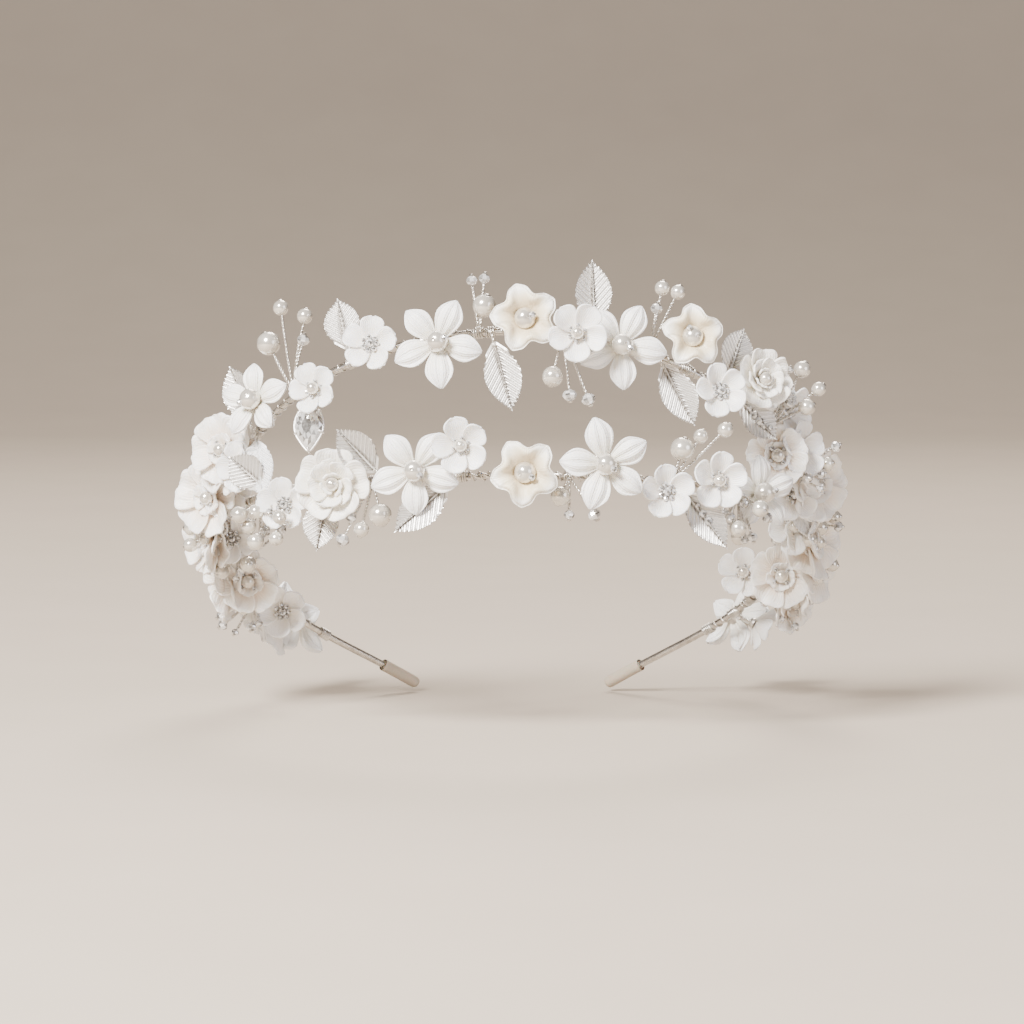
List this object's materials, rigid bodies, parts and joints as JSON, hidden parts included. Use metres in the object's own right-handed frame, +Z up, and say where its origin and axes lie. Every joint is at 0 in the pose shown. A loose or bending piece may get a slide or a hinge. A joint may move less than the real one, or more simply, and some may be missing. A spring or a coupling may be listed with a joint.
{
  "type": "flower crown",
  "caption": "Bridal headband with an upper and a lower row of wired clay blossoms, silver leaves, pearls and crystals on a sprung wire hoop with bare ends.",
  "frame": {"origin": "halfway between the temples, where the hoop is widest and the head passes through", "axes": "+X to the right as seen from in front, which is the wearer's left; -Y the way the wearer faces; +Z up"},
  "size_m": [0.1591, 0.1143, 0.1149],
  "materials": {
    "champagne_silver": "satin champagne-silver plated wire",
    "pale_sleeve": "pale satin dipped tip",
    "leaf_silver": "embossed bright silver plate",
    "pearl": "glossy ivory pearl",
    "crystal": "clear cut crystal",
    "jasmine_petals": "smooth white modelling clay",
    "blossom_petals": "thin translucent white clay",
    "cup_petals": "smooth ivory modelling clay",
    "rose_petals": "smooth cream modelling clay",
    "hydrangea_petals": "thin blush-white clay"
  },
  "bodies": {
    "left_half": {"arch_binding_left": "champagne_silver", "front_arch_left": "champagne_silver", "front_blossom_1": "blossom_petals", "front_blossom_2": "blossom_petals", "front_jasmine_1": "jasmine_petals", "front_leaf_1": "leaf_silver", "front_leaf_2": "leaf_silver", "front_leaf_3": "leaf_silver", "front_leaf_5": "leaf_silver", "front_rose": "rose_petals", "front_sprig_1": "pearl", "hoop_left": "champagne_silver", "side_blossom_left": "blossom_petals", "side_hydrangea_left_1": "hydrangea_petals", "side_hydrangea_left_2": "hydrangea_petals", "side_jasmine_left": "jasmine_petals", "side_sprig_left": "pearl", "tip_sleeve_left": "pale_sleeve", "upper_blossom_1": "blossom_petals", "upper_blossom_2": "blossom_petals", "upper_crystal_leaf": "crystal", "upper_hydrangea_left": "hydrangea_petals", "upper_jasmine_1": "jasmine_petals", "upper_jasmine_2": "jasmine_petals", "upper_leaf_1": "leaf_silver", "upper_leaf_2": "leaf_silver", "upper_leaf_3": "leaf_silver", "upper_sprig_1": "pearl", "upper_sprig_2": "pearl"},
    "right_half": {"arch_binding_right": "champagne_silver", "front_arch_right": "champagne_silver", "front_blossom_3": "blossom_petals", "front_blossom_4": "blossom_petals", "front_cup": "cup_petals", "front_jasmine_2": "jasmine_petals", "front_jasmine_3": "jasmine_petals", "front_leaf_4": "leaf_silver", "front_sprig_2": "pearl", "front_sprig_3": "pearl", "front_sprig_4": "pearl", "hoop_right": "champagne_silver", "side_blossom_right": "blossom_petals", "side_hydrangea_right_1": "hydrangea_petals", "side_hydrangea_right_2": "hydrangea_petals", "side_jasmine_right": "jasmine_petals", "tip_sleeve_right": "pale_sleeve", "upper_blossom_3": "blossom_petals", "upper_blossom_4": "blossom_petals", "upper_blossom_5": "blossom_petals", "upper_cup_1": "cup_petals", "upper_cup_2": "cup_petals", "upper_hydrangea_right": "hydrangea_petals", "upper_jasmine_3": "jasmine_petals", "upper_leaf_4": "leaf_silver", "upper_leaf_5": "leaf_silver", "upper_leaf_6": "leaf_silver", "upper_leaf_7": "leaf_silver", "upper_rose": "rose_petals", "upper_sprig_3": "pearl", "upper_sprig_4": "pearl"}
  },
  "joints": [
    {"name": "hoop_spread", "type": "hinge", "parent": "left_half", "child": "right_half", "pos_m": [0, -0.04738, 0.04738], "axis": [0, -0.1732, -0.9849], "range_deg": [0, 10], "stiffness_Nm_per_rad": 1.2}
  ]
}
